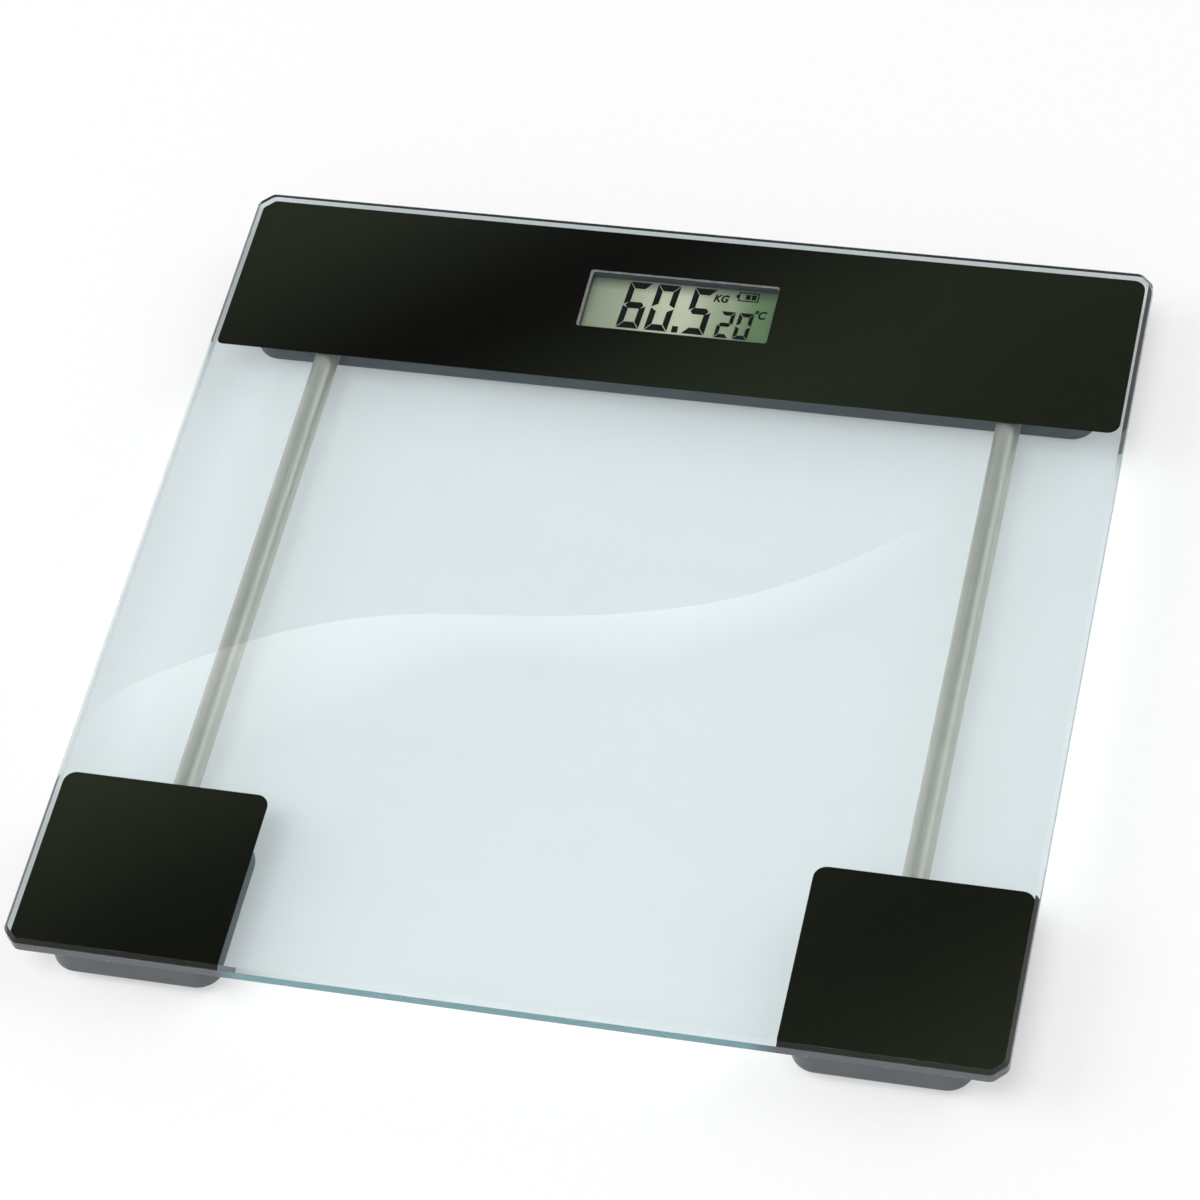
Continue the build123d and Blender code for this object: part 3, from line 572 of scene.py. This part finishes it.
def outline(low, high, corners):
    """Points anticlockwise round a rectangle, each corner cut and rounded, from the back right one."""
    places = ((high[0], high[1]), (low[0], high[1]), (low[0], low[1]), (high[0], low[1]))
    points = []
    for quarter, (place, (cut, radius)) in enumerate(zip(places, corners)):
        turned = Matrix.Rotation(quarter * tau / 4, 2)
        reach = cut + radius * tan(tau / 16)
        for centre, start in (((-radius, -reach), 0), ((-reach, -radius), tau / 8)):
            for step in range(corner_steps + 1):
                angle = start + step / corner_steps * tau / 8
                spot = Vector(centre) + radius * Vector((cos(angle), sin(angle)))
                point = Vector(place) + turned @ spot
                if not points or (point - points[-1]).length > same_point:
                    points.append(point)
    return points


def add_loop(mesh, points, height):
    """A closed loop of vertices at one height."""
    return [mesh.verts.new((x, y, height)) for x, y in points]


def loop_edges(mesh, loop):
    """The edges of a closed loop, made where they are missing."""
    pairs = zip(loop, loop[1:] + loop[:1])
    return [mesh.edges.get(pair) or mesh.edges.new(pair) for pair in pairs]


def bridge_loops(mesh, lower, upper, material_index=0):
    """A band of faces between two loops with the same number of points."""
    for index in range(len(lower)):
        face = mesh.faces.new((lower[index - 1], lower[index], upper[index], upper[index - 1]))
        face.material_index = material_index


def fill_between(mesh, loops, material_index):
    """Flat faces inside the first loop and outside the others."""
    edges = [edge for loop in loops for edge in loop_edges(mesh, loop)]
    made = bmesh.ops.triangle_fill(mesh, use_beauty=True, use_dissolve=False, edges=edges)
    for item in made["geom"]:
        if isinstance(item, bmesh.types.BMFace):
            item.material_index = material_index


def new_piece(name, mesh, materials):
    """An object of the scene from a finished bmesh, which is freed."""
    bmesh.ops.recalc_face_normals(mesh, faces=mesh.faces)
    data = bpy.data.meshes.new(name)
    mesh.to_mesh(data)
    mesh.free()
    for material in materials:
        data.materials.append(material)
    piece = bpy.data.objects.new(name, data)
    bpy.context.scene.collection.objects.link(piece)
    return piece


def ink_corners(node):
    """Low and high corner of a print, its outer sides drawn out to the ground edge of the glass."""
    _, glass_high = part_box("glass_platform")
    reach = glass_high[0] - glass_arris - ink_hair
    corners = [corner[:2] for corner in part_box(node)]
    outer = max(abs(side) for corner in corners for side in corner)
    return [
        [copysign(reach, side) if outer - abs(side) < same_point else side for side in corner]
        for corner in corners
    ]


def print_outlines():
    """Outlines of the three prints: cut at the glass's corners, round towards the middle."""
    band = ink_corners("rear_print")
    cut = cut_corner(glass_arris + ink_hair)
    inner = round_corner(print_corner_radius)
    rim = round_corner(print_rim_radius)
    band_high = (band[1][0] - band_right_gap, band[1][1])
    return (
        outline(band[0], band_high, (inner, cut, round_corner(band_left_radius), inner)),
        outline(*ink_corners("front_left_print"), (inner, inner, cut, rim)),
        outline(*ink_corners("front_right_print"), (inner, inner, rim, cut)),
    )


def window_outline(low, high):
    """Outline of the display window in the rear print, between corners given from its middle."""
    display_low, display_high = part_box("lcd_panel")
    middle_y = (display_low[1] + display_high[1]) / 2
    corners = 4 * (round_corner(window_corner_radius),)
    return outline((low[0], middle_y + low[1]), (high[0], middle_y + high[1]), corners)


def make_rear_ink():
    """Black band with its window, as a thin layer under the glass."""
    low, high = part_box("rear_print")
    half = (window_width / 2, window_depth / 2)
    band, *_ = print_outlines()
    window = window_outline((-half[0], -half[1]), half)
    mesh = bmesh.new()
    lower = [add_loop(mesh, points, low[2]) for points in (band, window)]
    upper = [add_loop(mesh, points, high[2]) for points in (band, window)]
    for lower_loop, upper_loop in zip(lower, upper):
        bridge_loops(mesh, lower_loop, upper_loop)
    for loops in (lower, upper):
        fill_between(mesh, loops, 0)
    ink = new_piece("rear_band", mesh, [finishes["black_print"]])
    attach(ink, "scale_body")
    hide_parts("rear_print")


def make_platform():
    """Glass platform with ground edges, printed on its underside except in the display window."""
    clear, inked, ground, border = range(4)
    low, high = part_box("glass_platform")
    bottom = low[2] + print_bond
    levels = (
        (bottom, glass_arris),
        (low[2] + glass_arris, 0),
        (high[2] - glass_arris, 0),
        (high[2], glass_arris),
    )
    mesh = bmesh.new()
    rings = []
    for height, inset in levels:
        ring_low = (low[0] + inset, low[1] + inset)
        ring_high = (high[0] - inset, high[1] - inset)
        rings.append(add_loop(mesh, outline(ring_low, ring_high, 4 * (cut_corner(inset),)), height))
    for lower, upper, finish in zip(rings, rings[1:], (clear, ground, clear)):
        bridge_loops(mesh, lower, upper, finish)
    mesh.faces.new(rings[-1])

    band, *squares = [add_loop(mesh, points, bottom) for points in print_outlines()]
    frame_line = add_loop(mesh, window_outline(border_low, border_high), bottom)
    window_low = (-window_width / 2, border_low[1] + border_line)
    window_high = (border_high[0] - border_line, window_depth / 2)
    window = add_loop(mesh, window_outline(window_low, window_high), bottom)
    fill_between(mesh, [rings[0], band, *squares], clear)
    fill_between(mesh, [band, frame_line], inked)
    fill_between(mesh, [frame_line, window], border)
    fill_between(mesh, [window], clear)
    for square in squares:
        fill_between(mesh, [square], inked)

    materials = [finishes["platform_glass"], finishes["black_print"], make_glass_edge(), make_border()]
    platform = new_piece("glass_plate", mesh, materials)
    platform.data.shade_smooth()
    platform.data.set_sharp_from_angle(angle=glass_smooth_turn)
    softened = platform.modifiers.new("edge_break", "BEVEL")
    softened.width = glass_edge_break
    softened.segments = 2
    softened.limit_method = "ANGLE"
    softened.angle_limit = glass_edge_turn
    softened.harden_normals = True
    # the glass casts no shadow; its deepened tint carries that shade as painted shade
    platform.visible_shadow = False
    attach(platform, "scale_body")
    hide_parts("glass_platform")


def segment_outlines(size, bar, post):
    """Outlines of the seven segments of a digit, from its lower left corner."""
    width, height = size
    middle = height / 2
    gap = segment_gap
    inner = width - post
    upper = [
        (0, height - gap),
        (post, height - bar - gap),
        (post, middle + bar / 2 + gap),
        (0, middle + gap),
    ]
    lower = [(0, gap), (post, bar + gap), (post, middle - bar / 2 - gap), (0, middle - gap)]
    tip = segment_tip * post
    shoulder = segment_shoulder * post
    return {
        "top": [
            (gap, height),
            (width - gap, height),
            (inner - gap, height - bar),
            (post + gap, height - bar),
        ],
        "upper_left": upper,
        "upper_right": [(width - x, y) for x, y in upper],
        "middle": [
            (tip, middle),
            (shoulder, middle + bar / 2),
            (width - shoulder, middle + bar / 2),
            (width - tip, middle),
            (width - shoulder, middle - bar / 2),
            (shoulder, middle - bar / 2),
        ],
        "lower_left": lower,
        "lower_right": [(width - x, y) for x, y in lower],
        "bottom": [(gap, 0), (width - gap, 0), (inner - gap, bar), (post + gap, bar)],
    }


# Segments that are dark in each figure
lit_segments = {
    "0": ("top", "upper_left", "upper_right", "lower_left", "lower_right", "bottom"),
    "2": ("top", "upper_right", "middle", "lower_left", "bottom"),
    "5": ("top", "upper_left", "middle", "lower_right", "bottom"),
    "6": ("top", "upper_left", "middle", "lower_left", "lower_right", "bottom"),
}


def rectangle(corner, size):
    """Outline of a rectangle from its lower left corner."""
    x, y = corner
    width, height = size
    return [(x, y), (x + width, y), (x + width, y + height), (x, y + height)]


def digit_outlines(digits, lefts, bottom, size, bar, post):
    """Outlines of the dark segments of a row of digits, leaning by the slant of the display."""
    shapes = segment_outlines(size, bar, post)
    return [
        [(left + x + mark_slant * y, bottom + y) for x, y in shapes[segment]]
        for digit, left in zip(digits, lefts)
        for segment in lit_segments[digit]
    ]


def battery_outlines():
    """Outlines of the battery sign's tip and of the bars of its charge."""
    x, y = battery_corner
    width, height = battery_size
    tip_width, tip_height = battery_tip
    tip = rectangle((x - tip_width, y + (height - tip_height) / 2), battery_tip)
    inset = 2 * battery_line  # the case's line, and as wide a gap inside it
    bar_size = (battery_bar_width, height - 2 * inset)
    last_bar = x + width - inset - battery_bar_width
    pitch = battery_bar_width + battery_line
    bars = [rectangle((last_bar - pitch * index, y + inset), bar_size) for index in range(battery_bars)]
    return [tip, *bars]


def add_battery_case(mesh, height):
    """Closed line round the battery sign."""
    x, y = battery_corner
    line = battery_line
    hollow = (battery_size[0] - 2 * line, battery_size[1] - 2 * line)
    outlines = (rectangle(battery_corner, battery_size), rectangle((x + line, y + line), hollow))
    outer_low, inner_low = (add_loop(mesh, points, height) for points in outlines)
    outer_high, inner_high = (add_loop(mesh, points, height + mark_height) for points in outlines)
    bridge_loops(mesh, outer_low, outer_high)
    bridge_loops(mesh, outer_high, inner_high)
    bridge_loops(mesh, inner_high, inner_low)
    bridge_loops(mesh, inner_low, outer_low)


def add_lettering(mesh, words, corner, size, height):
    """Flat lettering from its lower left corner, leaning like the figures."""
    curve = bpy.data.curves.new("lettering", "FONT")
    curve.body = words
    curve.size = size
    curve.shear = lettering_shear
    curve.offset = lettering_weight
    curve.extrude = mark_height / 2
    source = bpy.data.objects.new("lettering", curve)
    flat = bpy.data.meshes.new_from_object(source)
    narrowed = Matrix.Diagonal((lettering_width, 1, 1, 1))
    flat.transform(Matrix.Translation((*corner, height + mark_height / 2)) @ narrowed)
    mesh.from_mesh(flat)
    bpy.data.meshes.remove(flat)
    bpy.data.objects.remove(source)


def make_marks():
    """Dark figures and signs of the display, just above its front glass."""
    low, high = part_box("lcd_panel")
    middle_y = (low[1] + high[1]) / 2
    outlines = digit_outlines(
        large_digits, large_digit_lefts, large_digit_bottom, large_digit_size, large_bar, large_post
    )
    outlines += digit_outlines(
        small_digits, small_digit_lefts, small_digit_bottom, small_digit_size, small_bar, small_post
    )
    outlines.append(rectangle(point_corner, point_size))
    outlines += battery_outlines()
    mesh = bmesh.new()
    for points in outlines:
        lower = add_loop(mesh, points, high[2])
        upper = add_loop(mesh, points, high[2] + mark_height)
        bridge_loops(mesh, lower, upper)
        mesh.faces.new(lower)
        mesh.faces.new(upper)
    add_battery_case(mesh, high[2])
    add_lettering(mesh, "KG", unit_corner, unit_size, high[2])
    add_lettering(mesh, "°C", degree_corner, degree_size, high[2])
    bmesh.ops.remove_doubles(mesh, verts=mesh.verts, dist=same_point)
    bmesh.ops.translate(mesh, verts=mesh.verts, vec=(0, middle_y, 0))
    marks = new_piece("display_marks", mesh, [make_segments()])
    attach(marks, "scale_body")


make_platform()
make_rear_ink()
make_marks()


def camera_axes():
    """Right, up and forward directions of the camera."""
    forward = Vector(
        (
            -sin(camera_azimuth) * cos(camera_elevation),
            cos(camera_azimuth) * cos(camera_elevation),
            -sin(camera_elevation),
        )
    )
    level_right = forward.cross(Vector((0, 0, 1))).normalized()
    level_up = level_right.cross(forward)
    right = cos(camera_roll) * level_right + sin(camera_roll) * level_up
    return right, right.cross(forward), forward


def make_camera():
    """Camera at the photograph's view."""
    data = bpy.data.cameras.new("camera")
    data.lens = camera_lens
    data.sensor_width = camera_sensor
    data.shift_x = camera_shift
    camera = bpy.data.objects.new("camera", data)
    right, up, forward = camera_axes()
    turned = Matrix((right, up, -forward)).transposed().to_4x4()
    camera.matrix_world = Matrix.Translation(camera_place) @ turned
    bpy.context.scene.collection.objects.link(camera)
    bpy.context.scene.camera = camera


def make_floor():
    """Pale floor that shows white, keeps the shadow of the scale and is clear from below."""
    mesh = bmesh.new()
    half = floor_size / 2
    corners = ((-half, -half), (half, -half), (half, half), (-half, half))
    mesh.faces.new([mesh.verts.new((x, y, -floor_drop)) for x, y in corners])
    material, tree, shader = start_material("floor")
    shader.inputs["Specular IOR Level"].default_value = 0
    speck = add_range(tree, add_noise(tree, floor_speck), 0, 1)
    body = add_mix(tree, speck, *floor_tones)
    tree.links.new(body, shader.inputs["Base Color"])
    tree.links.new(add_range(tree, speck, 0.75, 0.85, 0, 1), shader.inputs["Roughness"])
    glow = add_node(tree, "ShaderNodeEmission", {"Strength": 1})
    path = add_node(tree, "ShaderNodeLightPath")
    seen = path.outputs["Is Camera Ray"]
    for ray in ("Is Glossy Ray", "Is Transmission Ray"):
        seen = add_math(tree, "MAXIMUM", seen, path.outputs[ray])
    share = add_range(tree, seen, 0, floor_glow, 0, 1)
    blend = add_node(tree, "ShaderNodeMixShader")
    tree.links.new(share, blend.inputs["Fac"])
    tree.links.new(shader.outputs["BSDF"], blend.inputs[1])
    tree.links.new(glow.outputs["Emission"], blend.inputs[2])
    side = add_node(tree, "ShaderNodeNewGeometry")
    clear = add_node(tree, "ShaderNodeBsdfTransparent")
    one_sided = add_node(tree, "ShaderNodeMixShader")
    tree.links.new(side.outputs["Backfacing"], one_sided.inputs["Fac"])
    tree.links.new(blend.outputs["Shader"], one_sided.inputs[1])
    tree.links.new(clear.outputs["BSDF"], one_sided.inputs[2])
    tree.links.new(one_sided.outputs["Shader"], tree.nodes["Material Output"].inputs["Surface"])
    new_piece("floor", mesh, [material])


def make_lamp(name, place, power):
    """Soft square lamp that faces the middle of the scale."""
    data = bpy.data.lights.new(name, "AREA")
    data.size = lamp_size
    data.energy = power
    lamp = bpy.data.objects.new(name, data)
    lamp.location = place
    lamp.rotation_euler = (-Vector(place)).to_track_quat("-Z", "Y").to_euler()
    bpy.context.scene.collection.objects.link(lamp)


def make_world():
    """Soft light from all round, bright low over the floor and dim overhead."""
    world = bpy.data.worlds.new("studio")
    world.use_nodes = True
    tree = world.node_tree
    direction = add_node(tree, "ShaderNodeTexCoord")
    split = add_node(tree, "ShaderNodeSeparateXYZ")
    tree.links.new(direction.outputs["Generated"], split.inputs["Vector"])
    strength = add_range(tree, split.outputs["Z"], horizon_light, ceiling_light, horizon_top, ceiling_start)
    tree.nodes["Background"].inputs["Color"].default_value = (1, 1, 1, 1)
    tree.links.new(strength, tree.nodes["Background"].inputs["Strength"])
    bpy.context.scene.world = world


def mirrored_point(pixel_x, pixel_y):
    """A point far along the photograph's line of sight, mirrored in the top of the glass."""
    right, up, forward = camera_axes()
    across = (pixel_x / image_size - 0.5 + camera_shift) * camera_sensor / camera_lens
    above = (0.5 - pixel_y / image_size) * camera_sensor / camera_lens
    sight = (forward + across * right + above * up).normalized()
    _, glass_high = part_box("glass_platform")
    meeting = camera_place + sight * (glass_high[2] - camera_place.z) / sight.z
    return meeting + streak_distance * sight.reflect(Vector((0, 0, 1)))


def make_streak():
    """Curved light card that shows only as a soft streak of gloss on the glass."""
    mesh = bmesh.new()
    glow_layer = mesh.verts.layers.float.new("glow")
    rows = []
    for x, y, depth, glow in streak_edge:
        upper = mesh.verts.new(mirrored_point(x, y))
        lower = mesh.verts.new(mirrored_point(x, y + depth))
        upper[glow_layer] = glow
        rows.append((upper, lower))
    for (left_upper, left_lower), (right_upper, right_lower) in zip(rows, rows[1:]):
        mesh.faces.new((left_upper, left_lower, right_lower, right_upper))
    material, tree, shader = start_material("streak")
    glow = add_node(tree, "ShaderNodeAttribute", attribute_name="glow")
    light = add_node(tree, "ShaderNodeEmission")
    clear = add_node(tree, "ShaderNodeBsdfTransparent")
    blend = add_node(tree, "ShaderNodeAddShader")
    path = add_node(tree, "ShaderNodeLightPath")
    beneath = path.outputs["Is Transmission Ray"]
    above = add_math(tree, "MULTIPLY", glow.outputs["Fac"], add_math(tree, "SUBTRACT", 1, beneath))
    tree.links.new(add_range(tree, above, 0, streak_light, 0, 1), light.inputs["Strength"])
    tree.links.new(light.outputs["Emission"], blend.inputs[0])
    tree.links.new(clear.outputs["BSDF"], blend.inputs[1])
    tree.links.new(blend.outputs["Shader"], tree.nodes["Material Output"].inputs["Surface"])
    tree.nodes.remove(shader)
    card = new_piece("streak_card", mesh, [material])
    smooth = card.modifiers.new("smooth", "SUBSURF")
    smooth.levels = smooth.render_levels = streak_smoothing
    card.visible_camera = False
    card.visible_diffuse = False
    card.visible_transmission = False
    card.visible_shadow = False


make_camera()
make_floor()
make_world()
make_streak()
for name, place, power in lamps:
    make_lamp(name, place, power)
bpy.context.scene.view_settings.view_transform = "Standard"
